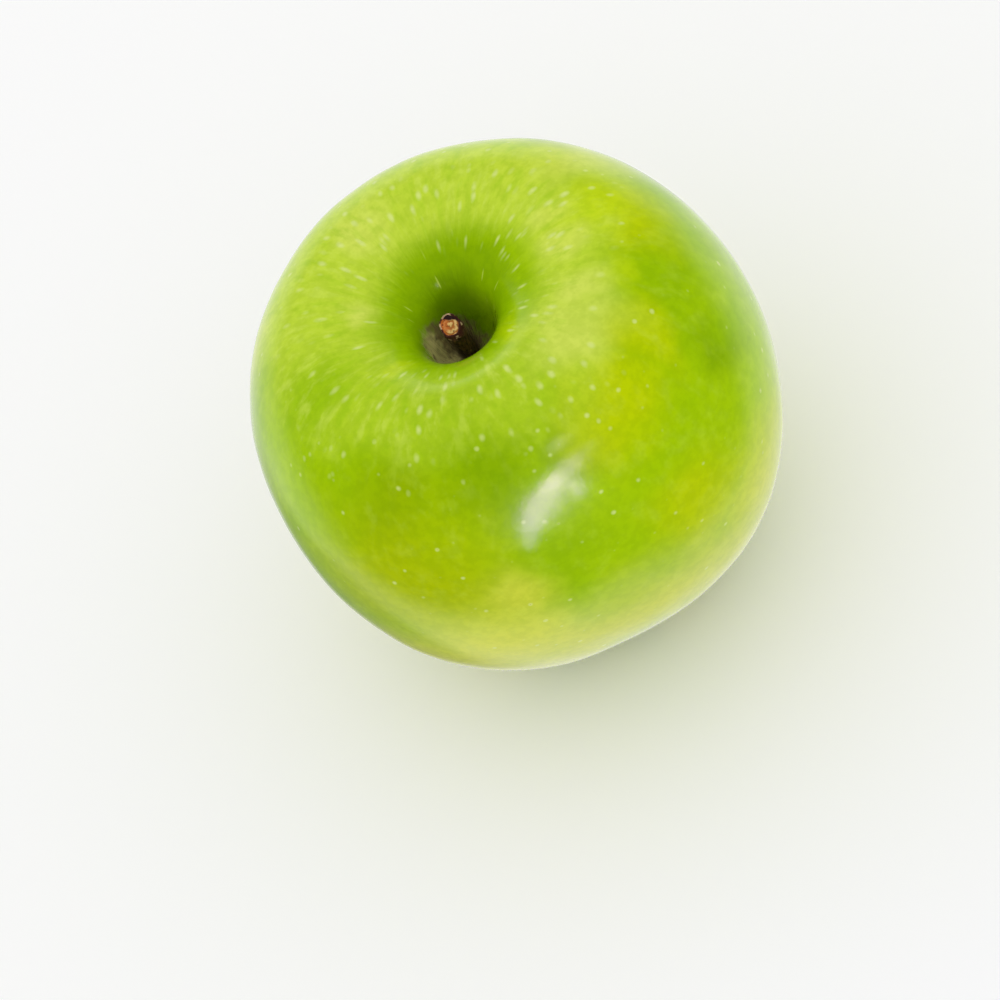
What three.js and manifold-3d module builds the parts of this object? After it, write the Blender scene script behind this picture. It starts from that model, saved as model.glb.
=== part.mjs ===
// A whole green apple as picked: the grown fruit, its woody stem deep in the stem cavity, and the
// dried calyx (five sepals and a tuft of stamens) in the basin underneath.
// Millimetres, +Z up. The apple stands on five small flat spots of its crown, and the origin is
// the bottom centre of the box round the whole apple. The front of the apple faces -Y.
import * as THREE from 'three';
import { mergeVertices } from 'three/addons/utils/BufferGeometryUtils.js';
import Module from 'manifold-3d';

const { degToRad, smoothstep } = THREE.MathUtils;

// Driving dimensions of the fruit.
const equatorRadius = 39;
const fruitHeight = 69.6;
const cavityDepth = 18;
const basinDepth = 7;
const crownRadius = 15.4;
const seatGap = 0.3;

// Driving dimensions of the stem.
const stemLength = 10.7;
const stemRadius = 1.1;
const stemTipRadius = 1.8;
const stemRootDepth = 3;
const stemLean = [-1.05, -0.15];
const stemRidges = { count: 5, size: 0.05 };
const stemEdgeRounding = 0.2;
const stemCutSlant = degToRad(28);

// Driving dimensions of the dried calyx.
const sepalCount = 5;
const sepalWidth = 2.8;
const sepalThickness = 0.7;
const calyxDiscRadius = 2.8;
const calyxDiscThickness = 1.6;
const stamenCount = 9;
const stamenRadius = 0.32;
const stamenLength = 3;
const stamenDiscRadius = 1.15;
const stamenDiscThickness = 0.7;
const stamenRootRadius = 0.75;
const stamenSpread = 0.35;

// How finely each round thing is faceted.
const fruitSides = 72;
const rowsPerProfilePoint = 2;
const stemSides = 20;
const stemRows = 16;
const discSides = 24;
const sepalSides = 10;
const sepalRows = 10;
const stamenSides = 6;
const stamenRows = 4;

// Broad swellings round the fruit: waves round the girth, size as a share of the radius, and the
// bearing in degrees of the first crest. The single wave sets one cheek fuller than the other.
const swellings = [
  { waves: 1, size: 0.045, bearing: -15 },
  { waves: 2, size: 0.0125, bearing: -15 },
  { waves: 3, size: 0.022, bearing: -33 },
  { waves: 4, size: 0.0105, bearing: 44 },
  { waves: 5, size: 0.0063, bearing: 18 },
];
// The swellings start outside the stem cavity and the basin and are full near the equator.
const swellingStartRadius = 8;
const swellingFullRadius = 32;

// The stem cavity is fuller on one side. Its swellings grow in over the wall of the pit and fade
// out over the funnel.
const cavitySwellings = [
  { waves: 1, size: 0.08, bearing: -112 },
  { waves: 2, size: 0.05, bearing: -112 },
];
const pitWallRadii = [3.4, 6];
const funnelRadii = [9, 20];

// One side of the shoulder stands a little higher than the other.
const shoulderRise = 0.5;
const shoulderBearing = -100;

// Five lobes of the crown, round the basin, with shallow valleys between them.
const crownValleyDepth = 0.9;
const crownWidth = 9;
const restingFlat = 0.35;

const cavityFloor = fruitHeight - cavityDepth;
const equatorHeight = 0.61 * fruitHeight;
const basinFloor = basinDepth;
const stemSocketRadius = stemRadius + seatGap;
const stemSocketFloor = cavityFloor - stemRootDepth - seatGap;
const calyxSocketRadius = calyxDiscRadius + seatGap;
const calyxSocketRoof = basinFloor + calyxDiscThickness;
const stamenDiscTop = basinFloor - seatGap;
const stamenDiscFloor = stamenDiscTop - stamenDiscThickness;

// One closed solid skinned over rings of points that run from the first pole to the last, each
// ring counterclockwise when it is seen from the first pole's side.
function skinOverRings(firstPole, rings, lastPole) {
  const sides = rings[0].length;
  const positions = [firstPole, ...rings.flat(), lastPole].flatMap((point) => point.toArray());
  const lastIndex = 1 + rings.length * sides;
  const at = (row, side) => 1 + row * sides + (side % sides);
  const indices = [];
  for (let side = 0; side < sides; side += 1) {
    indices.push(0, at(0, side), at(0, side + 1));
    for (let row = 0; row + 1 < rings.length; row += 1) {
      indices.push(at(row, side), at(row + 1, side), at(row + 1, side + 1));
      indices.push(at(row, side), at(row + 1, side + 1), at(row, side + 1));
    }
    indices.push(lastIndex, at(rings.length - 1, side + 1), at(rings.length - 1, side));
  }
  const geometry = new THREE.BufferGeometry();
  geometry.setAttribute('position', new THREE.Float32BufferAttribute(positions, 3));
  geometry.setIndex(indices);
  geometry.computeVertexNormals();
  return geometry;
}

// The half outline of the fruit from the stem socket over the shoulder and the equator to the
// calyx socket, as [radius, height]. A smooth curve runs through the points.
function fruitOutline() {
  const r = equatorRadius;
  const h = fruitHeight;
  return [
    [stemSocketRadius, cavityFloor],          // floor of the cavity, at the stem
    [3.4, cavityFloor + 1.0],
    [5.0, cavityFloor + 3.8],                 // steep wall of the pit
    [5.8, cavityFloor + 7.4],
    [6.7, cavityFloor + 10.6],                // lip of the pit
    [9.2, cavityFloor + 13.6],
    [0.35 * r, cavityFloor + 16.3],           // funnel up to the shoulder
    [0.5 * r, h],                             // top of the shoulder
    [0.64 * r, 0.988 * h],
    [0.77 * r, 0.943 * h],
    [0.885 * r, 0.86 * h],
    [0.965 * r, 0.745 * h],
    [r, equatorHeight],                       // widest, above mid height
    [0.984 * r, 0.475 * h],
    [0.932 * r, 0.35 * h],
    [0.845 * r, 0.23 * h],
    [0.73 * r, 0.13 * h],
    [0.605 * r, 0.055 * h],
    [crownRadius + 3.6, 0.0155 * h],
    [crownRadius + 1.6, 0.003 * h],
    [crownRadius, 0],                         // crown that the apple stands on
    [crownRadius - 1.6, 0.004 * h],
    [crownRadius - 3.4, 0.018 * h],
    [9.2, 0.47 * basinDepth],
    [6.6, 0.75 * basinDepth],
    [4.6, 0.93 * basinDepth],
    [calyxSocketRadius, basinFloor],          // floor of the basin, at the calyx
  ];
}

function sumOfWaves(waveList, at) {
  return waveList.reduce((sum, { waves, size, bearing }) => {
    return sum + size * Math.cos(waves * (at - degToRad(bearing)));
  }, 0);
}

// Moves a point of the round outline in or out for the swellings, tilts the shoulder, lifts the
// valleys between the crown lobes, and presses the resting spots flat.
function grownPoint(radius, height, bearing) {
  const bodyShare = smoothstep(radius, swellingStartRadius, swellingFullRadius);
  const wallShare = smoothstep(radius, ...pitWallRadii) - smoothstep(radius, ...funnelRadii);
  const cavityShare = height > equatorHeight ? wallShare : 0;
  const bodyGrowth = bodyShare * sumOfWaves(swellings, bearing);
  const growth = 1 + bodyGrowth + cavityShare * sumOfWaves(cavitySwellings, bearing);
  const shoulder = smoothstep(height, equatorHeight, fruitHeight);
  let z = height + shoulder * shoulderRise * Math.cos(bearing - degToRad(shoulderBearing));
  if (height < basinFloor) {
    const nearCrown = Math.exp(-(((radius - crownRadius) / crownWidth) ** 2));
    const valley = 0.5 - 0.5 * Math.cos(sepalCount * bearing);
    z = Math.max(0, height + crownValleyDepth * nearCrown * valley - restingFlat);
  }
  const grownRadius = radius * growth;
  return new THREE.Vector3(grownRadius * Math.cos(bearing), grownRadius * Math.sin(bearing), z);
}

function fruitGeometry() {
  const outline = fruitOutline();
  const points = outline.map(([radius, height]) => new THREE.Vector3(radius, 0, height));
  const curve = new THREE.CatmullRomCurve3(points, false, 'centripetal');
  const rows = curve.getPoints(rowsPerProfilePoint * (points.length - 1));
  const ring = (radius, height) => Array.from({ length: fruitSides }, (_, side) => {
    return grownPoint(radius, height, (2 * Math.PI * side) / fruitSides);
  });
  const socketRing = (radius, height) => Array.from({ length: fruitSides }, (_, side) => {
    const bearing = (2 * Math.PI * side) / fruitSides;
    return new THREE.Vector3(radius * Math.cos(bearing), radius * Math.sin(bearing), height);
  });
  const rings = [
    socketRing(stemSocketRadius, stemSocketFloor),
    ...rows.map((point) => ring(point.x, point.z)),
    socketRing(calyxSocketRadius, calyxSocketRoof),
  ];
  const firstPole = new THREE.Vector3(0, 0, stemSocketFloor);
  const lastPole = new THREE.Vector3(0, 0, calyxSocketRoof);
  return skinOverRings(firstPole, rings, lastPole);
}

// Rings along a curve that runs from its tip to its root. Each ring lies across the curve, with
// half widths from the two functions of the share of the way; the first half width lies along
// sideways, as near as the curve allows.
function ringsAlong(curve, rows, sides, sideways, halfWidth, halfDepth) {
  return Array.from({ length: rows + 1 }, (_, row) => {
    const share = row / rows;
    const centre = curve.getPointAt(share);
    const towardsTip = curve.getTangentAt(share).negate();
    const across = sideways.clone();
    across.addScaledVector(towardsTip, -sideways.dot(towardsTip)).normalize();
    const through = towardsTip.clone().cross(across);
    return Array.from({ length: sides }, (_, side) => {
      const angle = (2 * Math.PI * side) / sides;
      const point = centre.clone();
      point.addScaledVector(across, halfWidth(share, angle) * Math.cos(angle));
      point.addScaledVector(through, halfDepth(share, angle) * Math.sin(angle));
      return point;
    });
  });
}

// The stem: a short, slightly curved stalk, thicker at its tip, which is cut off at a slant so that
// the cut end turns to the front.
function stemGeometry() {
  const [leanX, leanY] = stemLean;
  const tipHeight = cavityFloor + stemLength;
  const curve = new THREE.CatmullRomCurve3([
    new THREE.Vector3(leanX, leanY, tipHeight),
    new THREE.Vector3(0.55 * leanX, leanY, cavityFloor + 0.62 * stemLength),
    new THREE.Vector3(0.15 * leanX, 0, cavityFloor + 0.25 * stemLength),
    new THREE.Vector3(0, 0, cavityFloor),
    new THREE.Vector3(0, 0, cavityFloor - stemRootDepth),
  ], false, 'centripetal');
  const radius = (share, angle) => {
    const flare = (stemTipRadius - stemRadius) * (1 - smoothstep(share, 0, 0.4));
    const roundedEdge = stemEdgeRounding * (1 - smoothstep(share, 0, 0.05));
    const aboveRoot = 1 - smoothstep(share, 0.6, 0.75);
    const ridges = 1 + aboveRoot * stemRidges.size * Math.cos(stemRidges.count * angle);
    return (stemRadius + flare - roundedEdge) * ridges;
  };
  const rings = ringsAlong(curve, stemRows, stemSides, new THREE.Vector3(1, 0, 0), radius, radius);
  rings.forEach((ring, row) => {
    const nearTip = 1 - smoothstep(row / stemRows, 0, 0.45);
    ring.forEach((point) => {
      point.z += nearTip * Math.tan(stemCutSlant) * (point.y - leanY);
    });
  });
  return skinOverRings(curve.getPointAt(0), rings, curve.getPointAt(1));
}

// One sepal: a pointed blade that leaves the disc, closes over the stamens and turns its tip out.
function sepalGeometry(bearing, lengthShare) {
  const outward = new THREE.Vector3(Math.cos(bearing), Math.sin(bearing), 0);
  const sideways = new THREE.Vector3(-Math.sin(bearing), Math.cos(bearing), 0);
  const onBlade = (radius, drop) => {
    return outward.clone().multiplyScalar(radius).setZ(basinFloor - lengthShare * drop);
  };
  const curve = new THREE.CatmullRomCurve3([
    onBlade(5.3, 4.9),
    onBlade(4.1, 5.2),
    onBlade(3.0, 4.3),
    onBlade(2.5, 2.7),
    onBlade(2.5, 1.2),
    onBlade(2.0, -0.6),
  ], false, 'centripetal');
  const tipWidth = 0.3;
  const width = (share) => {
    return tipWidth + (0.5 * sepalWidth - tipWidth) * smoothstep(share, -0.25, 0.75);
  };
  const depth = () => 0.5 * sepalThickness;
  const rings = ringsAlong(curve, sepalRows, sepalSides, sideways, width, depth);
  return skinOverRings(curve.getPointAt(0), rings, curve.getPointAt(1));
}

// One dried stamen: a thread with a small thickening, the anther, at its free end.
function stamenGeometry(bearing, spread, lengthShare) {
  const outward = new THREE.Vector3(Math.cos(bearing), Math.sin(bearing), 0);
  const onThread = (radius, drop) => {
    return outward.clone().multiplyScalar(radius).setZ(stamenDiscFloor - drop);
  };
  const length = stamenLength * lengthShare;
  const curve = new THREE.CatmullRomCurve3([
    onThread(stamenRootRadius + spread, length),
    onThread(stamenRootRadius + 0.4 * spread, 0.5 * length),
    onThread(stamenRootRadius, -0.5 * stamenDiscThickness),
  ], false, 'centripetal');
  const radius = (share) => stamenRadius * (1 + 0.45 * (1 - smoothstep(share, 0.1, 0.4)));
  const rings = ringsAlong(curve, stamenRows, stamenSides, new THREE.Vector3(1, 0, 0), radius, radius);
  return skinOverRings(curve.getPointAt(0), rings, curve.getPointAt(1));
}

function discGeometry(radius, thickness, top) {
  const geometry = new THREE.CylinderGeometry(radius, radius, thickness, discSides);
  geometry.rotateX(Math.PI / 2);
  geometry.translate(0, 0, top - 0.5 * thickness);
  return geometry;
}

const wasm = await Module();
wasm.setup();

function toManifold(geometry) {
  const bare = geometry.clone();
  bare.deleteAttribute('normal');
  bare.deleteAttribute('uv');
  const merged = mergeVertices(bare, 1e-5);
  return new wasm.Manifold(new wasm.Mesh({
    numProp: 3,
    vertProperties: new Float32Array(merged.attributes.position.array),
    triVerts: new Uint32Array(merged.index.array),
  }));
}

function joined(geometries) {
  const solid = geometries.map(toManifold).reduce((sum, next) => sum.add(next));
  const mesh = solid.getMesh();
  const geometry = new THREE.BufferGeometry();
  geometry.setAttribute('position', new THREE.Float32BufferAttribute(mesh.vertProperties, 3));
  geometry.setIndex(Array.from(mesh.triVerts));
  geometry.computeVertexNormals();
  return geometry;
}

// A repeatable spread of small differences between 0 and 1.
function variation(index) {
  const wave = Math.sin(12.9898 * (index + 1)) * 43758.5453;
  return wave - Math.floor(wave);
}

function sepalsGeometry() {
  const disc = discGeometry(calyxDiscRadius, calyxDiscThickness, calyxSocketRoof - seatGap);
  const sepals = Array.from({ length: sepalCount }, (_, index) => {
    const turn = degToRad(8 * variation(index) - 4);
    const lengthShare = 0.86 + 0.16 * variation(index + 7);
    return sepalGeometry((2 * Math.PI * index) / sepalCount + turn, lengthShare);
  });
  return joined([disc, ...sepals]);
}

function stamensGeometry() {
  const disc = discGeometry(stamenDiscRadius, stamenDiscThickness, stamenDiscTop);
  const stamens = Array.from({ length: stamenCount }, (_, index) => {
    const bearing = (2 * Math.PI * (index + 0.5)) / stamenCount;
    const lengthShare = 0.75 + 0.25 * variation(index + 3);
    return stamenGeometry(bearing, stamenSpread * variation(index), lengthShare);
  });
  return joined([disc, ...stamens]);
}

function namedMesh(name, geometry, color, roughness) {
  const material = new THREE.MeshStandardMaterial({ color, roughness, metalness: 0 });
  const mesh = new THREE.Mesh(geometry, material);
  mesh.name = name;
  return mesh;
}

const pieces = new THREE.Group();
pieces.add(namedMesh('fruit', fruitGeometry(), '#98bb1c', 0.36));
pieces.add(namedMesh('stem', stemGeometry(), '#6b4526', 0.8));
pieces.add(namedMesh('calyx_sepals', sepalsGeometry(), '#6f5a3a', 0.9));
pieces.add(namedMesh('calyx_stamens', stamensGeometry(), '#3e2c1c', 0.9));

const box = new THREE.Box3().setFromObject(pieces, true);
const middle = box.getCenter(new THREE.Vector3());
pieces.position.set(-middle.x, -middle.y, -box.min.z);

const apple = new THREE.Group();
apple.add(pieces);

export default apple;
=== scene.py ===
from math import cos, pi, radians, sin

import bpy
from mathutils import Matrix, Vector


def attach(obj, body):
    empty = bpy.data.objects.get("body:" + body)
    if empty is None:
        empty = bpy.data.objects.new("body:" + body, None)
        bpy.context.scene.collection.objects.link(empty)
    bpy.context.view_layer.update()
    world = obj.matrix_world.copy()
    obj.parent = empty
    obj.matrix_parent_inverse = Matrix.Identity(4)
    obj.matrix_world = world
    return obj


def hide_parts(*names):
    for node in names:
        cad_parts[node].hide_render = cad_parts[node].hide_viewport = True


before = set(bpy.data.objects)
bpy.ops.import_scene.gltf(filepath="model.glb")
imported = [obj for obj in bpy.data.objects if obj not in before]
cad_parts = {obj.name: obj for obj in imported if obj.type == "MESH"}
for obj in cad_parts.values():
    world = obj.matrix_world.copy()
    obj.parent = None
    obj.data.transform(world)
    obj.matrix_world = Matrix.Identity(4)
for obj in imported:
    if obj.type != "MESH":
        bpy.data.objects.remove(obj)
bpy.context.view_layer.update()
print("frame loaded:", sorted(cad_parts))


def deselectAll():
    if bpy.context.object and bpy.context.object.mode != "OBJECT":
        bpy.ops.object.mode_set(mode="OBJECT")
    bpy.ops.object.select_all(action="DESELECT")


def makeActive(piece):
    deselectAll()
    piece.select_set(True)
    bpy.context.view_layer.objects.active = piece


def applyModifiers(piece):
    makeActive(piece)
    for modifier in list(piece.modifiers):
        bpy.ops.object.modifier_apply(modifier=modifier.name)


copySettings = {
    "mergeWithin": 0.000005,
    "flattest": radians(40),       # triangles join into quads up to this fold, and whatever their shape
    "squarest": radians(180),
}


def copyOfNode(nodeName, pieceName):
    # a merged copy of a construction solid in quads, ready to be refined
    piece = bpy.data.objects.new(pieceName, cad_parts[nodeName].data.copy())
    bpy.context.scene.collection.objects.link(piece)
    piece.data.materials.clear()
    makeActive(piece)
    bpy.ops.mesh.customdata_custom_splitnormals_clear()
    bpy.ops.object.mode_set(mode="EDIT")
    bpy.ops.mesh.select_all(action="SELECT")
    bpy.ops.mesh.remove_doubles(threshold=copySettings["mergeWithin"])
    bpy.ops.mesh.tris_convert_to_quads(
        face_threshold=copySettings["flattest"], shape_threshold=copySettings["squarest"])
    bpy.ops.object.mode_set(mode="OBJECT")
    return piece


def subdivide(piece, levels):
    smooth = piece.modifiers.new("smooth", "SUBSURF")
    smooth.levels = smooth.render_levels = levels


def roughen(piece, name, size, strength, depth=1):
    # lets the surface rise and fall by half the strength either way
    uneven = piece.modifiers.new(name, "DISPLACE")
    uneven.texture = bpy.data.textures.new(name, "CLOUDS")
    uneven.texture.noise_scale = size
    uneven.texture.noise_depth = depth
    uneven.strength = strength
    uneven.mid_level = 0.5


def selectFaces(piece, wanted):
    # selects the faces that the test picks, in edit mode
    makeActive(piece)
    for part in (piece.data.vertices, piece.data.edges, piece.data.polygons):
        part.foreach_set("select", [False] * len(part))
    for face in piece.data.polygons:
        face.select = wanted(face)
    bpy.ops.object.mode_set(mode="EDIT")
    bpy.ops.mesh.select_mode(type="FACE")


class NodeBench:
    # one material's node tree, with short calls to add and wire nodes

    def __init__(self, materialName):
        self.material = bpy.data.materials.new(materialName)
        self.material.use_nodes = True
        self.tree = self.material.node_tree
        self.shader = self.tree.nodes["Principled BSDF"]

    def node(self, kind, **settings):
        made = self.tree.nodes.new("ShaderNode" + kind)
        for key, value in settings.items():
            setattr(made, key, value)
        return made

    def feed(self, socket, value):
        if isinstance(value, bpy.types.NodeSocket):
            self.tree.links.new(value, socket)
        elif value is not None:
            socket.default_value = value

    def place(self, centre=(0, 0, 0)):
        # the point on the piece, from a chosen centre
        made = self.node("Mapping")
        self.feed(made.inputs["Vector"], self.node("TexCoord").outputs["Object"])
        made.inputs["Location"].default_value = [-value for value in centre]
        return made.outputs[0]

    def parts(self, vector):
        made = self.node("SeparateXYZ")
        self.feed(made.inputs[0], vector)
        return made.outputs

    def math(self, operation, first, second=None, third=None, clamp=False):
        made = self.node("Math", operation=operation, use_clamp=clamp)
        for socket, value in zip(made.inputs, (first, second, third)):
            self.feed(socket, value)
        return made.outputs[0]

    def times(self, *values):
        product = values[0]
        for value in values[1:]:
            product = self.math("MULTIPLY", product, value)
        return product

    def vector(self, operation, first, second=None, scale=None):
        made = self.node("VectorMath", operation=operation)
        self.feed(made.inputs[0], first)
        self.feed(made.inputs[1], second)
        if scale is not None:
            self.feed(made.inputs["Scale"], scale)
        givesNumber = operation in ("LENGTH", "DISTANCE", "DOT_PRODUCT")
        return made.outputs["Value" if givesNumber else "Vector"]

    def combine(self, x, y, z):
        made = self.node("CombineXYZ")
        for socket, value in zip(made.inputs, (x, y, z)):
            self.feed(socket, value)
        return made.outputs[0]

    def ramp(self, value, low, high, atLow=0.0, atHigh=1.0):
        # a smooth step from one value to another; low may be above high
        made = self.node("MapRange", interpolation_type="SMOOTHSTEP")
        for socket, number in zip(made.inputs, (value, low, high, atLow, atHigh)):
            self.feed(socket, number)
        return made.outputs[0]

    def mix(self, share, first, second, blend="MIX"):
        made = self.node("Mix", data_type="RGBA", blend_type=blend)
        self.feed(made.inputs["Factor"], share)
        self.feed(made.inputs[6], first)
        self.feed(made.inputs[7], second)
        return made.outputs[2]

    def noiseNode(self, at, scale, detail=2.0, roughness=0.5):
        made = self.node("TexNoise")
        self.feed(made.inputs["Vector"], at)
        made.inputs["Scale"].default_value = scale
        made.inputs["Detail"].default_value = detail
        made.inputs["Roughness"].default_value = roughness
        return made

    def noise(self, at, scale, detail=2.0, roughness=0.5):
        return self.noiseNode(at, scale, detail, roughness).outputs["Fac"]

    def jitter(self, at, scale, detail=2.0, roughness=0.5):
        # a wandering offset, up to half a unit either way
        wander = self.noiseNode(at, scale, detail, roughness).outputs["Color"]
        return self.vector("SUBTRACT", wander, (0.5, 0.5, 0.5))

    def shifted(self, at, offset, reach):
        return self.vector("ADD", at, self.vector("SCALE", offset, scale=reach))

    def cells(self, at, scale):
        # distance to the nearest of a scatter of points, and two random numbers for that point
        made = self.node("TexVoronoi")
        self.feed(made.inputs["Vector"], at)
        made.inputs["Scale"].default_value = scale
        chance = self.parts(made.outputs["Color"])
        return made.outputs["Distance"], chance[0], chance[1]

    def bump(self, height, strength, distance, normal=None):
        made = self.node("Bump")
        made.inputs["Strength"].default_value = strength
        made.inputs["Distance"].default_value = distance
        self.feed(made.inputs["Height"], height)
        self.feed(made.inputs["Normal"], normal)
        return made.outputs[0]

    def finish(self, colourSocket, roughness, normal, ior=1.45):
        self.feed(self.shader.inputs["Base Color"], colourSocket)
        self.feed(self.shader.inputs["Roughness"], roughness)
        self.feed(self.shader.inputs["Normal"], normal)
        self.shader.inputs["IOR"].default_value = ior
        return self.material


def colour(red, green, blue):
    # a colour as read off a screen, 0 to 255, for a shader's linear socket
    def linear(value):
        share = value / 255
        return share / 12.92 if share <= 0.04045 else ((share + 0.055) / 1.055) ** 2.4
    return (linear(red), linear(green), linear(blue), 1.0)


def upperPoleOf(piece):
    # a solid's poles are the two vertices where most edges meet
    edgeCount = [0] * len(piece.data.vertices)
    for edge in piece.data.edges:
        for index in edge.vertices:
            edgeCount[index] += 1
    most = max(edgeCount)
    poles = [piece.data.vertices[i].co for i, count in enumerate(edgeCount) if count == most]
    return max(poles, key=lambda point: point.z).copy()


fruitSettings = {
    "smoothing": 2,
    "unevenness": 0.0004,
    "unevennessSize": 0.014,
    "coreHeight": 0.035,           # the middle that the angles on the skin are taken from
}


def makeFruit():
    piece = copyOfNode("fruit", "fruitSkin")
    axis = upperPoleOf(piece)
    subdivide(piece, fruitSettings["smoothing"])
    roughen(piece, "unevenSkin", fruitSettings["unevennessSize"], fruitSettings["unevenness"])
    applyModifiers(piece)
    bpy.ops.object.shade_smooth()
    return piece, axis


skinColours = {
    "green": colour(150, 190, 0),
    "yellowGreen": colour(162, 200, 0),
    "olive": colour(132, 172, 0),
    "yellow": colour(188, 207, 0),
    "amber": colour(170, 187, 0),
    # the next tone, used for the pale patches, is partly painted reflection of the pale floor
    "pale": colour(208, 216, 66),
    # the next two are painted sheen of the light from above, on the ring round the cavity and its
    # brightest patches
    "paintedSheen": colour(212, 226, 96),
    "paintedRingSheen": colour(194, 219, 62),
    "paleStreak": colour(206, 227, 90),
    "greenStreak": colour(146, 196, 0),
    # partly the skin's paler tone, partly painted reflection of the pale floor, towards the base
    "lowerPaleAndReflection": colour(206, 211, 52),
    "underGreen": colour(172, 196, 22),
    "basinGreen": colour(158, 172, 40),
    "lime": colour(194, 218, 12),
    "leaf": colour(148, 190, 0),
    "funnel": colour(136, 176, 0),
    "deepFunnel": colour(142, 180, 0),
    # painted shade of the cavity's far wall
    "farFunnelShade": colour(112, 148, 0),
    "lenticel": colour(216, 230, 140),
    "lenticelHeart": colour(160, 124, 52),
    "russetDark": colour(96, 72, 50),
    "russet": colour(150, 134, 92),
    # painted light on the pit's wall
    "litRusset": colour(228, 214, 144),
    "russetRed": colour(126, 88, 62),
    # painted shade at the bottom of the pit
    "pitShade": colour(46, 32, 22),
    "basinRusset": colour(138, 122, 70),
}

skinPatches = {
    # soft patches of another tone: bearing and angle from the stem in degrees, then the reach; the pale
    # patches low on the front are partly painted reflection of the pale floor
    "olive": [(-104, 45, 0.2), (-131, 48, 0.15), (-78, 47, 0.1), (-36, 62, 0.1), (172, 84, 0.3),
              (86, 80, 0.26)],
    "yellow": [(-66, 48, 0.15), (-48, 46, 0.12), (-8, 43, 0.16), (-62, 80, 0.2), (34, 38, 0.14),
               (-48, 92, 0.2), (118, 62, 0.3), (50, 98, 0.3)],
    "amber": [(-132, 70, 0.36)],
    "pale": [(-110, 79, 0.16), (-117, 92, 0.24)],
}

ringPatches = {
    # the same, lying over the pale ring; the cream patches are painted sheen of the light from above
    "paintedSheen": [(-54, 35, 0.14), (-36, 32, 0.08), (-10, 30, 0.06), (8, 29, 0.06), (22, 46, 0.17),
              (150, 23, 0.05), (102, 32, 0.08), (155, 50, 0.12)],
    # the lime patches at a tilt of about 20, by the cavity's near lip, are painted light
    "lime": [(0, 37, 0.13), (-30, 40, 0.07), (-60, 20, 0.07), (-148, 19, 0.05)],
    "leaf": [(-172, 37, 0.14), (-30, 62, 0.08), (196, 62, 0.08)],
}

# In the settings below, pairs are where a soft step starts and where it is full. Angles are taken
# from the stem round to the calyx, heights are above the floor, and scales are per metre.

groundSettings = {
    "toneScale": 42.0,
    "toneStep": (0.36, 0.62),
    "driftScale": 60.0,            # how the edges of the patches wander
    "drift": 0.35,
    "patchSpread": (1.7, 0.2),     # a patch's outer edge and its full middle, as shares of its reach
    "patchShare": 0.85,
    # partly painted reflection of the pale floor: the skin turns paler towards the base
    "lowerStep": (radians(78), radians(106)),   # paler and yellower towards the base
    "lowerWander": radians(30),
    "lowerShare": 0.85,
    "underStep": (radians(98), radians(128)),   # clouds of green underneath
    "cloudScale": 55.0,
    "cloudStep": (0.42, 0.62),
    "cloudShare": 0.75,
    "basinStep": (radians(150), radians(172)),
    "basinShare": 0.7,
    "mottleScale": 620.0,
    "mottleStep": (0.35, 0.65),
    "mottleDark": (0.94, 0.955, 0.9, 1),
    "mottlePale": (1.05, 1.035, 1.1, 1),
}

ringSettings = {
    # the pale ring round the cavity, wider on its far side: a painted sheen of the light from above
    "innerStep": (radians(18), radians(25)),
    "outerStep": (radians(46), radians(33)),
    "wander": radians(36),
    "wideSide": (-0.17, 0.98, 0.0),
    "wider": radians(16),
    "share": 0.85,
    "frontSide": (-0.5, -0.85, 0.0),
    "fainter": 0.5,
    "lateSide": (0.94, -0.34, 0.0),  # here it starts further from the stem
    "later": radians(2.5),
    "patchShare": 0.75,
    "streakCells": (12.0, 12.0, 10.0),
    "streaksElsewhere": 0.25,
    "paleStreakStep": (0.48, 0.72),
    "paleStreakShare": 0.45,
    "greenStreakStep": (0.5, 0.3),
    "greenStreakShare": 0.3,
}

funnelSettings = {
    # the cavity's wall turns a deeper green downwards, partly its own colour and partly painted shade of
    # the recess; deep down its far side is painted darker still, as shade
    "cavityReach": (0.016, 0.0096),  # from the core
    "cavityLift": (0.0, 0.005),      # above the middle of the core, which leaves out the lower basin
    "step": (0.0675, 0.0630),
    "share": 0.9,
    "deepStep": (0.0630, 0.0588),
    # painted shade: the deep green climbs higher on the far wall
    "tilt": 0.0026,                # greener further up on its far side
    "farSide": (0.75, 0.66, 0.0),
    # painted shade: deep down, the wall darkens towards this side
    "shadedSide": (0.17, 0.985, 0.0),
    "darkStep": (0.6, 1.0),
    "streakCells": (34.0, 34.0, 20.0),
    "streakLength": 0.004,
    "hairCells": (9.0, 9.0, 190.0),  # long thin pale hairs down the wall
    "hairStep": (0.2, 0.1),
    "hairChance": (0.4, 0.6),
    "hairShare": 0.6,
}

lenticelSettings = {
    # dashes drawn out down the cavity, and round dots scattered over the sides
    "ragScale": 420.0,
    "dashCells": (12.0, 12.0, 14.0),
    "dashRag": 0.3,
    "dashReach": (0.38, 0.19),     # near the stem, and far from it
    "dashReachStep": (radians(28), radians(50)),
    "dashMiddle": 0.05,
    "dashChance": (0.2, 0.7),
    "dashInner": (radians(17), radians(21)),
    "dashOuter": (radians(56), radians(36)),
    "dashShare": 0.7,
    "dotCells": 14.0,
    "dotRag": 0.12,
    "dotReach": 0.14,
    "dotSpread": 0.1,
    "dotEdge": 0.12,
    "dotChance": (0.1, 0.9),
    "dotFaintest": 0.25,
    "dotInner": (radians(30), radians(45)),
    "dotShare": 0.7,
    "heartStep": (0.045, 0.02),
    "heartChance": (0.75, 0.77),
    "heartInner": (0.7, 0.9),
    "heartShare": 0.5,
}

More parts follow.
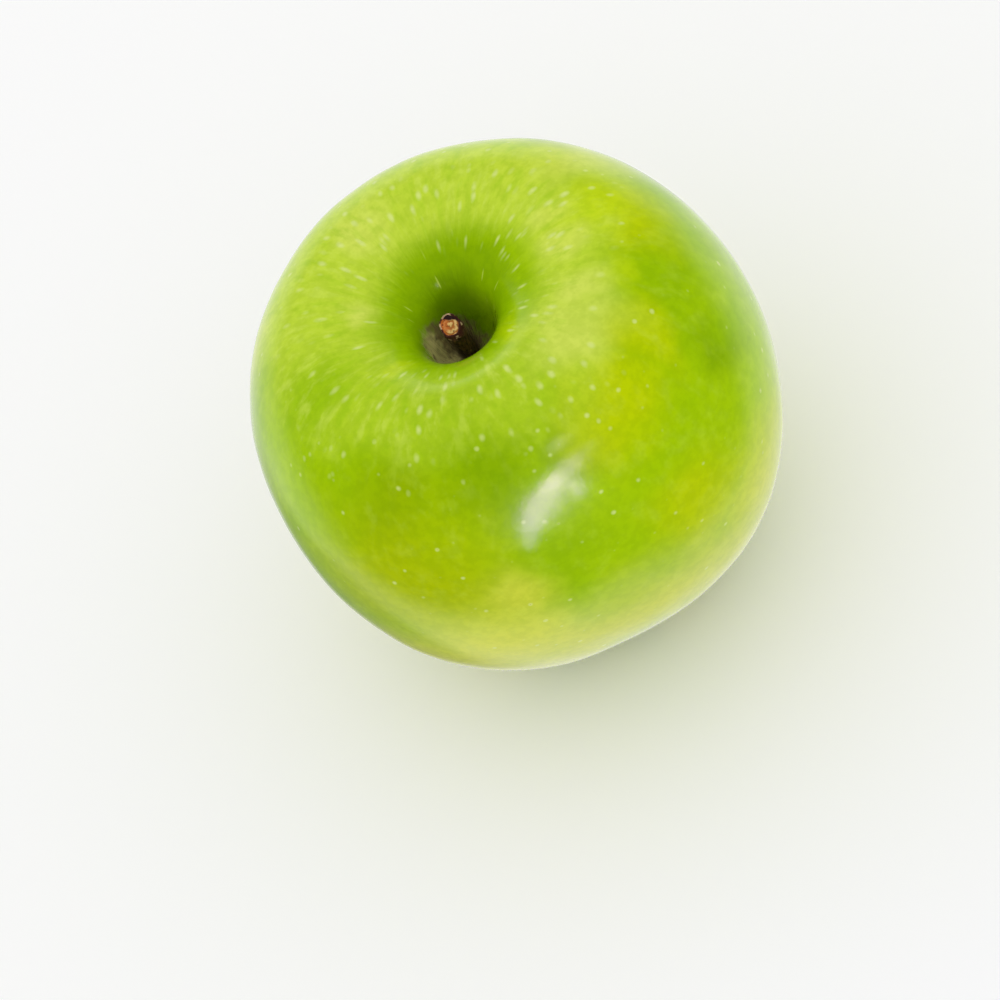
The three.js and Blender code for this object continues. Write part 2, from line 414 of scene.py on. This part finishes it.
russetSettings = {
    # dry russet down in the pit, and a thin russet web in the basin round the calyx; the pit also has
    # painted shade at its bottom and painted light on one wall
    "grainCells": (30.0, 30.0, 44.0),
    "blotchScale": 520.0,
    "pitStep": (0.0552, 0.0518),
    "pitGrain": 0.005,             # how far the grain and the blotches shift the pit's edge
    "pitBlotch": 0.006,
    "pitTilt": 0.0060,             # it climbs higher on its dry side
    "pitDrySide": (-0.85, 0.53, 0.0),
    "pitDryLeast": -0.2,
    # painted light: the pit's wall turns pale towards this side
    "litSide": (-0.96, 0.28, 0.0),
    "paleBlotch": 0.6,
    "paleStep": (1.1, 1.3),
    "grainStep": (0.38, 0.56),
    "redStep": (0.5, 0.66),
    "redShare": 0.6,
    # painted shade: the darkest spot, where the pit is deepest
    "floor": (-0.0004, 0.0025, 0.0),  # the darkest spot, beside the foot of the stem
    "floorStep": (0.0029, 0.00087),
    "webStep": (radians(157), radians(171)),
    "webBlotch": (0.46, 0.56),
    "webThinnest": 0.25,
    "webGrain": (0.44, 0.56),
    "webShare": 0.75,
}

glossBlue = 0.2                    # of a gloss that is yellow, except where it is seen edge on

glossSettings = {
    "skinRoughness": 0.17,
    "dryRoughness": 0.8,
    "webDryness": 0.6,
    "ior": 1.4,
    "peelScale": 1500.0,
    "peelBump": 0.05,
    "peelDepth": 0.00018,
    "pitDryStep": (0.0585, 0.0560),
    "basinDryStep": (radians(160), radians(172)),
    "dryBump": 0.7,
    "dryDepth": 0.0004,
}


class SkinPlaces:
    # where a point of the skin lies, in the terms that the layers of the skin use

    def __init__(self, bench, axis):
        self.centred = bench.place((axis.x, axis.y, fruitSettings["coreHeight"]))
        across, along, self.lift = bench.parts(self.centred)
        self.level = bench.combine(across, along, 0.0)
        self.fromAxis = bench.vector("LENGTH", self.level)
        self.fromStem = bench.math("ARCTAN2", self.fromAxis, self.lift)   # 0 at the stem, pi at the calyx
        self.height = bench.math("ADD", self.lift, fruitSettings["coreHeight"])
        self.outward = bench.vector("NORMALIZE", self.level)
        # runs with the skin's streaks
        self.around = bench.vector("ADD", self.outward, bench.combine(0.0, 0.0, self.fromStem))
        self.direction = bench.vector("NORMALIZE", self.centred)
        self.inCavity = bench.times(bench.ramp(self.fromAxis, *funnelSettings["cavityReach"]),
                                    bench.ramp(self.lift, *funnelSettings["cavityLift"]))
        self.tone = bench.noise(self.centred, groundSettings["toneScale"], 2.0)
        wander = bench.jitter(self.centred, groundSettings["driftScale"], 2.0, 0.6)
        self.drifted = bench.shifted(self.direction, wander, groundSettings["drift"])
        cells = bench.vector("MULTIPLY", self.around, russetSettings["grainCells"])
        self.grain = bench.noise(cells, 1.0, 3.0, 0.7)
        self.blotch = bench.noise(self.centred, russetSettings["blotchScale"], 2.0, 0.6)

    def towards(self, bench, side):
        return bench.vector("DOT_PRODUCT", self.outward, side)


def patched(bench, skin, places, patches, share):
    # lays soft round patches of other tones over the skin; the tables say which of them are painted sheen,
    # reflection and light
    outer, inner = groundSettings["patchSpread"]
    for tint, spots in patches.items():
        cover = 0.0
        for bearing, tilt, reach in spots:
            turn, lean = radians(bearing), radians(tilt)
            middle = (cos(turn) * sin(lean), sin(turn) * sin(lean), cos(lean))
            distance = bench.vector("DISTANCE", places.drifted, middle)
            cover = bench.math("MAXIMUM", cover, bench.ramp(distance, outer * reach, inner * reach))
        skin = bench.mix(bench.times(cover, share), skin, skinColours[tint])
    return skin


def groundLayer(bench, places):
    paint, ground = skinColours, groundSettings
    skin = bench.mix(bench.ramp(places.tone, *ground["toneStep"]), paint["green"], paint["yellowGreen"])
    skin = patched(bench, skin, places, skinPatches, ground["patchShare"])

    wander = ground["lowerWander"]
    lower = bench.math("SUBTRACT", places.fromStem, wander / 2)
    lower = bench.math("MULTIPLY_ADD", places.tone, wander, lower)
    lower = bench.ramp(lower, *ground["lowerStep"], 0.0, ground["lowerShare"])
    skin = bench.mix(lower, skin, paint["lowerPaleAndReflection"])
    clouds = bench.ramp(bench.noise(places.centred, ground["cloudScale"], 3.0, 0.6),
                        *ground["cloudStep"], 0.0, ground["cloudShare"])
    underside = bench.ramp(places.fromStem, *ground["underStep"])
    skin = bench.mix(bench.times(clouds, underside), skin, paint["underGreen"])
    basin = bench.ramp(places.fromStem, *ground["basinStep"])
    return bench.mix(bench.times(basin, ground["basinShare"]), skin, paint["basinGreen"])


def ringLayer(bench, skin, places):
    # the pale ring round the cavity, a painted sheen of the light from above, with broad faint streaks of
    # the skin's own; the edge is used by the lenticels too
    paint, ring = skinColours, ringSettings
    onWideSide = bench.math("MAXIMUM", places.towards(bench, ring["wideSide"]), 0.0)
    edge = bench.math("MULTIPLY_ADD", onWideSide, -ring["wider"], places.fromStem)
    edge = bench.math("ADD", edge, ring["wander"] / 2)
    edge = bench.math("MULTIPLY_ADD", places.tone, -ring["wander"], edge)
    onFront = bench.math("MAXIMUM", places.towards(bench, ring["frontSide"]), 0.0)
    share = bench.math("MULTIPLY_ADD", onFront, -ring["fainter"], ring["share"])
    onLateSide = places.towards(bench, ring["lateSide"])
    start = bench.math("MULTIPLY_ADD", onLateSide, -ring["later"], places.fromStem)
    onRing = bench.times(bench.ramp(start, *ring["innerStep"]), bench.ramp(edge, *ring["outerStep"]))
    skin = bench.mix(bench.times(onRing, share), skin, paint["paintedRingSheen"])
    skin = patched(bench, skin, places, ringPatches, ring["patchShare"])

    streaks = bench.noise(bench.vector("MULTIPLY", places.around, ring["streakCells"]), 1.0, 3.0, 0.6)
    streaked = bench.math("MAXIMUM", onRing, ring["streaksElsewhere"])
    pale = bench.times(bench.ramp(streaks, *ring["paleStreakStep"]), streaked, ring["paleStreakShare"])
    skin = bench.mix(pale, skin, paint["paleStreak"])
    green = bench.times(bench.ramp(streaks, *ring["greenStreakStep"]), streaked, ring["greenStreakShare"])
    return bench.mix(green, skin, paint["greenStreak"]), edge


def funnelLayer(bench, skin, places):
    paint, funnel = skinColours, funnelSettings
    streaks = bench.noise(bench.vector("MULTIPLY", places.around, funnel["streakCells"]), 1.0, 2.0, 0.6)
    length = funnel["streakLength"]
    level = bench.math("SUBTRACT", places.height, length / 2)
    level = bench.math("MULTIPLY_ADD", streaks, length, level)
    level = bench.math("MULTIPLY_ADD", places.towards(bench, funnel["farSide"]), -funnel["tilt"], level)
    onWall = bench.ramp(level, *funnel["step"])
    skin = bench.mix(bench.times(onWall, places.inCavity, funnel["share"]), skin, paint["funnel"])
    # painted shade: deep down, the wall darkens towards its far side
    shadedSide = bench.ramp(places.towards(bench, funnel["shadedSide"]), *funnel["darkStep"])
    deepGreen = bench.mix(shadedSide, paint["deepFunnel"], paint["farFunnelShade"])
    deep = bench.ramp(level, *funnel["deepStep"])
    return bench.mix(bench.times(deep, places.inCavity), skin, deepGreen), onWall


def lenticelLayer(bench, skin, places, ringEdge):
    paint, mark = skinColours, lenticelSettings
    ragged = bench.jitter(places.centred, mark["ragScale"], 1.0)
    dashAt = bench.vector("MULTIPLY", places.around, mark["dashCells"])
    distance, chance, _ = bench.cells(bench.shifted(dashAt, ragged, mark["dashRag"]), 1.0)
    reach = bench.ramp(places.fromStem, *mark["dashReachStep"], *mark["dashReach"])
    nearCavity = bench.times(bench.ramp(places.fromStem, *mark["dashInner"]),
                             bench.ramp(ringEdge, *mark["dashOuter"]))
    dash = bench.times(bench.ramp(distance, reach, mark["dashMiddle"]),
                       bench.ramp(chance, *mark["dashChance"]), nearCavity)
    skin = bench.mix(bench.times(dash, mark["dashShare"]), skin, paint["lenticel"])

    dotAt = bench.vector("SCALE", places.direction, scale=mark["dotCells"])
    distance, chance, heartChance = bench.cells(bench.shifted(dotAt, ragged, mark["dotRag"]), 1.0)
    reach = bench.math("MULTIPLY_ADD", chance, mark["dotSpread"], mark["dotReach"] - mark["dotSpread"] / 2)
    dot = bench.times(bench.ramp(bench.math("SUBTRACT", reach, distance), 0.0, mark["dotEdge"]),
                      bench.ramp(chance, *mark["dotChance"], mark["dotFaintest"], 1.0),
                      bench.ramp(places.fromStem, *mark["dotInner"]))
    skin = bench.mix(bench.times(dot, mark["dotShare"]), skin, paint["lenticel"])
    heart = bench.times(bench.ramp(distance, *mark["heartStep"]),
                        bench.ramp(heartChance, *mark["heartChance"]),
                        bench.ramp(places.fromStem, *mark["heartInner"]))
    return bench.mix(bench.times(heart, mark["heartShare"]), skin, paint["lenticelHeart"])


def hairLayer(bench, skin, places, onWall):
    funnel = funnelSettings
    downWall = bench.vector("ADD", places.outward, bench.combine(0.0, 0.0, places.height))
    distance, chance, _ = bench.cells(bench.vector("MULTIPLY", downWall, funnel["hairCells"]), 1.0)
    hair = bench.times(bench.ramp(distance, *funnel["hairStep"]),
                       bench.ramp(chance, *funnel["hairChance"]), onWall, places.inCavity)
    return bench.mix(bench.times(hair, funnel["hairShare"]), skin, skinColours["paleStreak"])


def mottleLayer(bench, skin, places):
    ground = groundSettings
    mottle = bench.noise(places.centred, ground["mottleScale"], 2.0, 0.6)
    mottled = bench.ramp(mottle, *ground["mottleStep"])
    shade = bench.mix(mottled, ground["mottleDark"], ground["mottlePale"])
    return bench.mix(1.0, skin, shade, "MULTIPLY")


def russetLayer(bench, skin, places):
    paint, dry = skinColours, russetSettings
    lift = (dry["pitGrain"] + dry["pitBlotch"]) / 2
    level = bench.math("SUBTRACT", places.height, lift)
    level = bench.math("MULTIPLY_ADD", places.grain, dry["pitGrain"], level)
    level = bench.math("MULTIPLY_ADD", places.blotch, dry["pitBlotch"], level)
    drySide = bench.math("MAXIMUM", places.towards(bench, dry["pitDrySide"]), dry["pitDryLeast"])
    level = bench.math("MULTIPLY_ADD", drySide, -dry["pitTilt"], level)
    pit = bench.times(bench.ramp(level, *dry["pitStep"]), places.inCavity)
    russet = bench.mix(bench.ramp(places.grain, *dry["grainStep"]), paint["russetDark"], paint["russet"])
    # painted light on the pit's wall towards one side
    litRim = places.towards(bench, dry["litSide"])
    litRim = bench.math("MULTIPLY_ADD", places.blotch, dry["paleBlotch"], litRim)
    russet = bench.mix(bench.ramp(litRim, *dry["paleStep"]), russet, paint["litRusset"])
    red = bench.ramp(places.grain, *dry["redStep"], 0.0, dry["redShare"])
    russet = bench.mix(red, russet, paint["russetRed"])
    # painted shade at the bottom of the pit, beside the stem's foot
    floor = bench.ramp(bench.vector("DISTANCE", places.level, dry["floor"]), *dry["floorStep"])
    russet = bench.mix(floor, russet, paint["pitShade"])
    skin = bench.mix(pit, skin, russet)
    web = bench.times(bench.ramp(places.fromStem, *dry["webStep"]),
                      bench.ramp(places.blotch, *dry["webBlotch"], dry["webThinnest"], 1.0),
                      bench.ramp(places.grain, *dry["webGrain"]))
    return bench.mix(bench.times(web, dry["webShare"]), skin, paint["basinRusset"]), pit, web


def skinMaterial(axis):
    bench = NodeBench("appleSkin")
    places = SkinPlaces(bench, axis)
    skin = groundLayer(bench, places)
    skin, ringEdge = ringLayer(bench, skin, places)
    skin, onWall = funnelLayer(bench, skin, places)
    skin = lenticelLayer(bench, skin, places, ringEdge)
    skin = hairLayer(bench, skin, places, onWall)
    skin = mottleLayer(bench, skin, places)
    skin, pit, web = russetLayer(bench, skin, places)

    gloss = glossSettings
    dryness = bench.math("MAXIMUM", pit, bench.times(web, gloss["webDryness"]))
    roughness = bench.ramp(dryness, 0.0, 1.0, gloss["skinRoughness"], gloss["dryRoughness"])
    peel = bench.noise(places.centred, gloss["peelScale"], 0.5, 0.6)
    normal = bench.bump(peel, gloss["peelBump"], gloss["peelDepth"])
    inPit = bench.times(bench.ramp(places.height, *gloss["pitDryStep"]), places.inCavity)
    dry = bench.math("MAXIMUM", inPit, bench.ramp(places.fromStem, *gloss["basinDryStep"]))
    normal = bench.bump(bench.times(places.grain, dry), gloss["dryBump"], gloss["dryDepth"], normal)
    bench.shader.inputs["Specular Tint"].default_value = (1.0, 1.0, glossBlue, 1.0)
    return bench.finish(skin, roughness, normal, gloss["ior"])


fruit, stemAxis = makeFruit()
fruit.data.materials.append(skinMaterial(stemAxis))
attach(fruit, "root")
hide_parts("fruit")
print("fruit made:", len(fruit.data.polygons), "faces")


stemSettings = {
    "smoothing": 3,
    "cutSlant": radians(28),
    "cutReach": 0.003,
    "cutFacing": 0.97,             # how squarely a face looks along the cut's normal to be part of it
    "rimWidth": 0.00016,           # bark left standing round the cut end
    "rimWall": 0.00006,
    "rimDepth": 0.00022,
    "heartWidth": 0.0004,
    "heartDepth": 0.00008,
    "barkSize": 0.0009,
    "barkRelief": 0.00026,
    "grainSize": 0.0003,
    "grainRelief": 0.00009,
}


def makeStem():
    piece = copyOfNode("stem", "stemTwig")
    cutNormal = Vector((0, -sin(stemSettings["cutSlant"]), cos(stemSettings["cutSlant"])))
    top = max(vertex.co.z for vertex in piece.data.vertices)
    cutEnd = {face.index: face.center.copy() for face in piece.data.polygons
              if face.normal.dot(cutNormal) > stemSettings["cutFacing"]
              and face.center.z > top - stemSettings["cutReach"]}
    heart = sum(cutEnd.values(), Vector()) / len(cutEnd)
    piece.data.materials.append(barkMaterial(heart, cutNormal))
    piece.data.materials.append(cutWoodMaterial(heart))
    selectFaces(piece, lambda face: face.index in cutEnd)
    bpy.ops.mesh.inset(thickness=stemSettings["rimWidth"], depth=0)
    bpy.ops.mesh.inset(thickness=stemSettings["rimWall"], depth=-stemSettings["rimDepth"])
    piece.active_material_index = 1
    bpy.ops.object.material_slot_assign()
    bpy.ops.mesh.inset(thickness=stemSettings["heartWidth"], depth=stemSettings["heartDepth"])
    bpy.ops.object.mode_set(mode="OBJECT")
    subdivide(piece, stemSettings["smoothing"])
    roughen(piece, "barkRidges", stemSettings["barkSize"], stemSettings["barkRelief"], depth=2)
    roughen(piece, "barkGrain", stemSettings["grainSize"], stemSettings["grainRelief"], depth=2)
    applyModifiers(piece)
    bpy.ops.object.shade_smooth()
    return piece


barkSettings = {
    "along": (1.0, 1.0, 0.25),     # fibres run along the stem
    "fibreScale": 2600.0,
    "fibreStep": (0.35, 0.65),
    "dark": colour(44, 20, 14),
    "mid": colour(104, 68, 40),
    "patchScale": 700.0,
    "patchStep": (0.56, 0.7),
    "patchShare": 0.7,
    "patch": colour(150, 122, 84),
    "rimStep": (-0.0011, -0.0002),   # red-brown next to the cut, with pale flecks
    "rimShare": 0.85,
    "rim": colour(76, 18, 20),
    "fleckStep": (0.54, 0.62),
    "fleck": colour(214, 178, 144),
    # painted shade: the bark darkens towards its foot down in the pit
    "footShadeStep": (-0.0035, -0.0085),
    "footShadeShare": 0.8,
    "foot": colour(34, 24, 14),
    "bump": 0.6,
    "bumpDepth": 0.0002,
    "roughness": 0.78,
}


def barkMaterial(heart, cutNormal):
    bench, look = NodeBench("stemBark"), barkSettings
    at = bench.place(heart)
    fibre = bench.noise(bench.vector("MULTIPLY", at, look["along"]), look["fibreScale"], 4.0, 0.7)
    patch = bench.noise(at, look["patchScale"], 3.0, 0.6)
    bark = bench.mix(bench.ramp(fibre, *look["fibreStep"]), look["dark"], look["mid"])
    bark = bench.mix(bench.ramp(patch, *look["patchStep"], 0.0, look["patchShare"]), bark, look["patch"])
    fromCut = bench.vector("DOT_PRODUCT", at, cutNormal)
    rim = bench.ramp(fromCut, *look["rimStep"])
    bark = bench.mix(bench.times(rim, look["rimShare"]), bark, look["rim"])
    fleck = bench.times(rim, bench.ramp(patch, *look["fleckStep"]))
    bark = bench.mix(fleck, bark, look["fleck"])
    # painted shade towards the stem's foot in the pit
    foot = bench.ramp(fromCut, *look["footShadeStep"])
    bark = bench.mix(bench.times(foot, look["footShadeShare"]), bark, look["foot"])
    normal = bench.bump(fibre, look["bump"], look["bumpDepth"])
    return bench.finish(bark, look["roughness"], normal)


cutWoodSettings = {
    # the dry cut end: broken tan rings, an orange stain on one side and a dark crack by the bark
    "wobbleScale": 1000.0,
    "ringWobble": 0.0014,
    "ringTurns": 8500.0,           # radians of the rings' wave in a metre
    "ringStep": (-0.8, 0.9),
    "ringDark": colour(178, 104, 32),
    "ringPale": colour(232, 190, 116),
    "stainSide": (-0.75, 0.66, 0.0),
    "stainWobble": 0.0016,
    "stainStep": (0.0008, 0.0014),
    "stainShare": 0.8,
    "stain": colour(206, 104, 26),
    "poreScale": 2600.0,
    "poreStep": (0.6, 0.68),
    "poreShare": 0.85,
    "pore": colour(104, 46, 18),
    "poreDepth": 2.0,              # against the height of the rings
    "crackSide": (0.6, 0.8, 0.0),
    "crackWobble": 0.0010,
    "crackStep": (0.00115, 0.00145),
    "crack": colour(52, 16, 18),
    "bump": 0.5,
    "bumpDepth": 0.00012,
    "roughness": 0.7,
}


def cutWoodMaterial(heart):
    bench, look = NodeBench("stemCutWood"), cutWoodSettings
    at = bench.place(heart)
    wobble = bench.noise(at, look["wobbleScale"], 3.0, 0.6)
    fromHeart = bench.math("MULTIPLY_ADD", wobble, look["ringWobble"], bench.vector("LENGTH", at))
    rings = bench.math("SINE", bench.times(fromHeart, look["ringTurns"]))
    wood = bench.mix(bench.ramp(rings, *look["ringStep"]), look["ringDark"], look["ringPale"])
    stain = bench.vector("DOT_PRODUCT", at, look["stainSide"])
    stain = bench.ramp(bench.math("MULTIPLY_ADD", wobble, look["stainWobble"], stain),
                       *look["stainStep"], 0.0, look["stainShare"])
    wood = bench.mix(stain, wood, look["stain"])
    pores = bench.ramp(bench.noise(at, look["poreScale"], 2.0), *look["poreStep"])
    wood = bench.mix(bench.times(pores, look["poreShare"]), wood, look["pore"])
    crack = bench.vector("DOT_PRODUCT", at, look["crackSide"])
    crack = bench.ramp(bench.math("MULTIPLY_ADD", wobble, look["crackWobble"], crack), *look["crackStep"])
    wood = bench.mix(crack, wood, look["crack"])
    relief = bench.math("SUBTRACT", rings, bench.times(pores, look["poreDepth"]))
    return bench.finish(wood, look["roughness"], bench.bump(relief, look["bump"], look["bumpDepth"]))


stem = makeStem()
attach(stem, "root")
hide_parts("stem")
print("stem made:", len(stem.data.polygons), "faces")


calyxSettings = {
    "smoothing": 2,
    "wrinkleSize": 0.0011,
    "wrinkles": 0.0004,
    "downSize": 0.0003,
    "down": 0.00014,
    "sepalShare": 1.0,             # of the wrinkles and the down
    "stamenShare": 0.5,
}


def makeCalyxPiece(nodeName, pieceName, share):
    # dried blades or threads: smoothed, then wrinkled and given a downy surface
    piece = copyOfNode(nodeName, pieceName)
    subdivide(piece, calyxSettings["smoothing"])
    wrinkles, down = share * calyxSettings["wrinkles"], share * calyxSettings["down"]
    roughen(piece, pieceName + "Wrinkles", calyxSettings["wrinkleSize"], wrinkles, depth=2)
    roughen(piece, pieceName + "Down", calyxSettings["downSize"], down, depth=2)
    applyModifiers(piece)
    bpy.ops.object.shade_smooth()
    return piece


driedSettings = {
    # each piece's tones are its folds, its body and its down
    "foldScale": 800.0,
    "foldStep": (0.32, 0.62),
    "downScale": 5200.0,
    "downStep": (0.5, 0.68),
    "downShare": 0.75,
    "bump": 0.8,
    "bumpDepth": 0.0003,
    "roughness": 0.92,
    "sepalTones": (colour(56, 44, 28), colour(112, 98, 62), colour(166, 156, 122)),
    "stamenTones": (colour(30, 20, 12), colour(70, 50, 30), colour(118, 92, 62)),
}


def driedMaterial(materialName, dark, mid, pale):
    bench, look = NodeBench(materialName), driedSettings
    at = bench.place()
    fold = bench.noise(at, look["foldScale"], 4.0, 0.65)
    down = bench.noise(at, look["downScale"], 3.0, 0.7)
    dried = bench.mix(bench.ramp(fold, *look["foldStep"]), dark, mid)
    dried = bench.mix(bench.ramp(down, *look["downStep"], 0.0, look["downShare"]), dried, pale)
    return bench.finish(dried, look["roughness"], bench.bump(down, look["bump"], look["bumpDepth"]))


sepals = makeCalyxPiece("calyx_sepals", "driedSepals", calyxSettings["sepalShare"])
sepals.data.materials.append(driedMaterial("driedSepal", *driedSettings["sepalTones"]))
stamens = makeCalyxPiece("calyx_stamens", "driedStamens", calyxSettings["stamenShare"])
stamens.data.materials.append(driedMaterial("driedStamen", *driedSettings["stamenTones"]))
calyxPieces = ((sepals, "calyx_sepals", "dried_calyx"), (stamens, "calyx_stamens", "dried_stamens"))
for piece, node, slot in calyxPieces:
    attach(piece, "root")
    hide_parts(node)
print("calyx made:", len(sepals.data.polygons), "and", len(stamens.data.polygons), "faces")


cameraSettings = {
    "elevation": radians(51.8),
    "roll": radians(-30.3),        # the core leans to the left in the view
    "distance": 0.6,
    "lens": 143.1,
    "frameSize": 1000,
    "corePixel": (514, 421),       # where the middle of the core falls in the frame
    "sensor": 36.0,
    "clipStart": 0.01,
}


def viewAxes():
    lift = cameraSettings["elevation"]
    back = Vector((0, -cos(lift), sin(lift)))
    right = Vector((1, 0, 0))
    up = back.cross(right)
    turn = cameraSettings["roll"]
    return right * cos(turn) + up * sin(turn), up * cos(turn) - right * sin(turn), back


viewRight, viewUp, viewBack = viewAxes()
core = Vector((stemAxis.x, stemAxis.y, fruitSettings["coreHeight"]))


# the width of a pixel at one metre from the camera, and half the frame in pixels
pixelWidth = cameraSettings["sensor"] / (cameraSettings["lens"] * cameraSettings["frameSize"])
halfFrame = cameraSettings["frameSize"] / 2


def aimCamera():
    # the camera's place and turn; it looks a little aside, so that the core falls on its pixel
    metresPerPixel = cameraSettings["distance"] * pixelWidth
    across, down = cameraSettings["corePixel"]
    sideStep = viewRight * (halfFrame - across) * metresPerPixel
    upStep = viewUp * (halfFrame - down) * metresPerPixel
    target = core + sideStep - upStep
    eye = core + viewBack * cameraSettings["distance"]
    away = (eye - target).normalized()
    sideways = viewUp.cross(away).normalized()
    return eye, Matrix((sideways, away.cross(sideways), away)).transposed()


eye, cameraTurn = aimCamera()


def makeCamera():
    bpy.ops.object.camera_add(location=eye)
    camera = bpy.context.object
    camera.rotation_euler = cameraTurn.to_euler()
    camera.data.lens = cameraSettings["lens"]
    camera.data.sensor_width = cameraSettings["sensor"]
    camera.data.clip_start = cameraSettings["clipStart"]
    bpy.context.scene.camera = camera


deselectAll()
makeCamera()
print("camera set")


floorSettings = {
    "size": 6.0,
    "grey": (0.97, 0.97, 0.97, 1),
    "roughness": 0.9,
}


def makeFloor():
    bpy.ops.mesh.primitive_plane_add(size=floorSettings["size"])
    floor = bpy.context.object
    floor.name = "paleFloor"
    bench = NodeBench("paleFloor")
    bench.shader.inputs["Base Color"].default_value = floorSettings["grey"]
    bench.shader.inputs["Roughness"].default_value = floorSettings["roughness"]
    floor.data.materials.append(bench.material)
    floor.visible_glossy = False


windowSettings = {
    # a small window low in front, which only the gloss of the skin shows; each pane is set by the two
    # ends and one side of its gleam in the frame
    "reach": 0.2,
    "tint": (1.65, 1.1, 1.6 / glossBlue),
    "panes": [
        {"gleam": ((556, 474), (531, 548), (551, 514)), "glow": 8.0},
        {"gleam": ((576, 452), (548, 492), (569, 477)), "glow": 5.6},
        {"gleam": ((570, 478), (581, 499), (578, 485)), "glow": 17.0},
        {"gleam": ((552, 448), (561, 439), (560, 447)), "glow": 8.0},
        {"gleam": ((585, 449), (591, 442), (590, 447)), "glow": 40.0},
    ],
}


def gleamFrom(pixel):
    # the point of the skin seen at a pixel, and the place whose light it mirrors to the camera
    across, down = pixel
    ray = cameraTurn @ Vector(((across - halfFrame) * pixelWidth, (halfFrame - down) * pixelWidth, -1))
    ray.normalize()
    _, place, normal, _ = fruit.ray_cast(eye, ray)
    return place, place + ray.reflect(normal) * windowSettings["reach"]


def makePane(index, pane):
    (skinTop, top), (skinFoot, foot), (_, side) = (gleamFrom(pixel) for pixel in pane["gleam"])
    middle = (top + foot) / 2
    away = (middle - (skinTop + skinFoot) / 2).normalized()
    longSide = top - foot
    longSide = (longSide - away * longSide.dot(away)).normalized()
    shortSide = away.cross(longSide)
    bpy.ops.object.light_add(type="AREA", location=middle)
    lamp = bpy.context.object
    lamp.name = "windowPane" + str(index)
    lamp.data.shape = "ELLIPSE"
    lamp.data.size = (top - foot).length
    lamp.data.size_y = 2 * abs((side - middle).dot(shortSide))
    lamp.data.color = windowSettings["tint"]
    area = lamp.data.size * lamp.data.size_y * pi / 4
    lamp.data.energy = pane["glow"] * pi * area
    lamp.rotation_euler = Matrix((longSide, shortSide, away)).transposed().to_euler()
    lamp.visible_diffuse = False
    lamp.visible_camera = False


studioSettings = {
    "room": 1.0,                   # even light of the white room
    "behind": (0.2, 0.55),         # the mirrored light: how far behind the apple it starts and is full
    "dimBearing": radians(234),    # a dim spot in it, to the lower left
    "dimTilt": radians(30),
    "dimReach": (0.2, 0.42),
    "dim": 0.25,
}


def makeStudio():
    world = bpy.data.worlds.new("studio")
    bpy.context.scene.world = world
    world.use_nodes = True
    tree = world.node_tree
    direction = tree.nodes.new("ShaderNodeTexCoord").outputs["Generated"]

    def compared(operation, point, limits, least=0.0):
        # a smooth step over the view direction's dot product with a point, or distance from it
        measure = tree.nodes.new("ShaderNodeVectorMath")
        measure.operation = operation
        measure.inputs[1].default_value = point
        tree.links.new(direction, measure.inputs[0])
        step = tree.nodes.new("ShaderNodeMapRange")
        step.interpolation_type = "SMOOTHSTEP"
        tree.links.new(measure.outputs["Value"], step.inputs[0])
        step.inputs[1].default_value, step.inputs[2].default_value = limits
        step.inputs[3].default_value = least
        return step.outputs[0]

    turn, tilt = studioSettings["dimBearing"], studioSettings["dimTilt"]
    dimSpot = (viewRight * cos(turn) + viewUp * sin(turn)) * sin(tilt) - viewBack * cos(tilt)
    mirrored = tree.nodes.new("ShaderNodeMath")
    mirrored.operation = "MULTIPLY"
    behind = compared("DOT_PRODUCT", -viewBack, studioSettings["behind"])
    dimmed = compared("DISTANCE", dimSpot, studioSettings["dimReach"], studioSettings["dim"])
    tree.links.new(behind, mirrored.inputs[0])
    tree.links.new(dimmed, mirrored.inputs[1])
    rays = tree.nodes.new("ShaderNodeLightPath")
    glow = tree.nodes.new("ShaderNodeMix")
    glow.inputs[2].default_value = studioSettings["room"]
    tree.links.new(rays.outputs["Is Glossy Ray"], glow.inputs[0])
    tree.links.new(mirrored.outputs[0], glow.inputs[3])
    tree.nodes["Background"].inputs["Color"].default_value = (1, 1, 1, 1)
    tree.links.new(glow.outputs[0], tree.nodes["Background"].inputs["Strength"])


makeFloor()
for index, pane in enumerate(windowSettings["panes"]):
    makePane(index, pane)
makeStudio()
bpy.context.scene.view_settings.view_transform = "Standard"
print("light set")
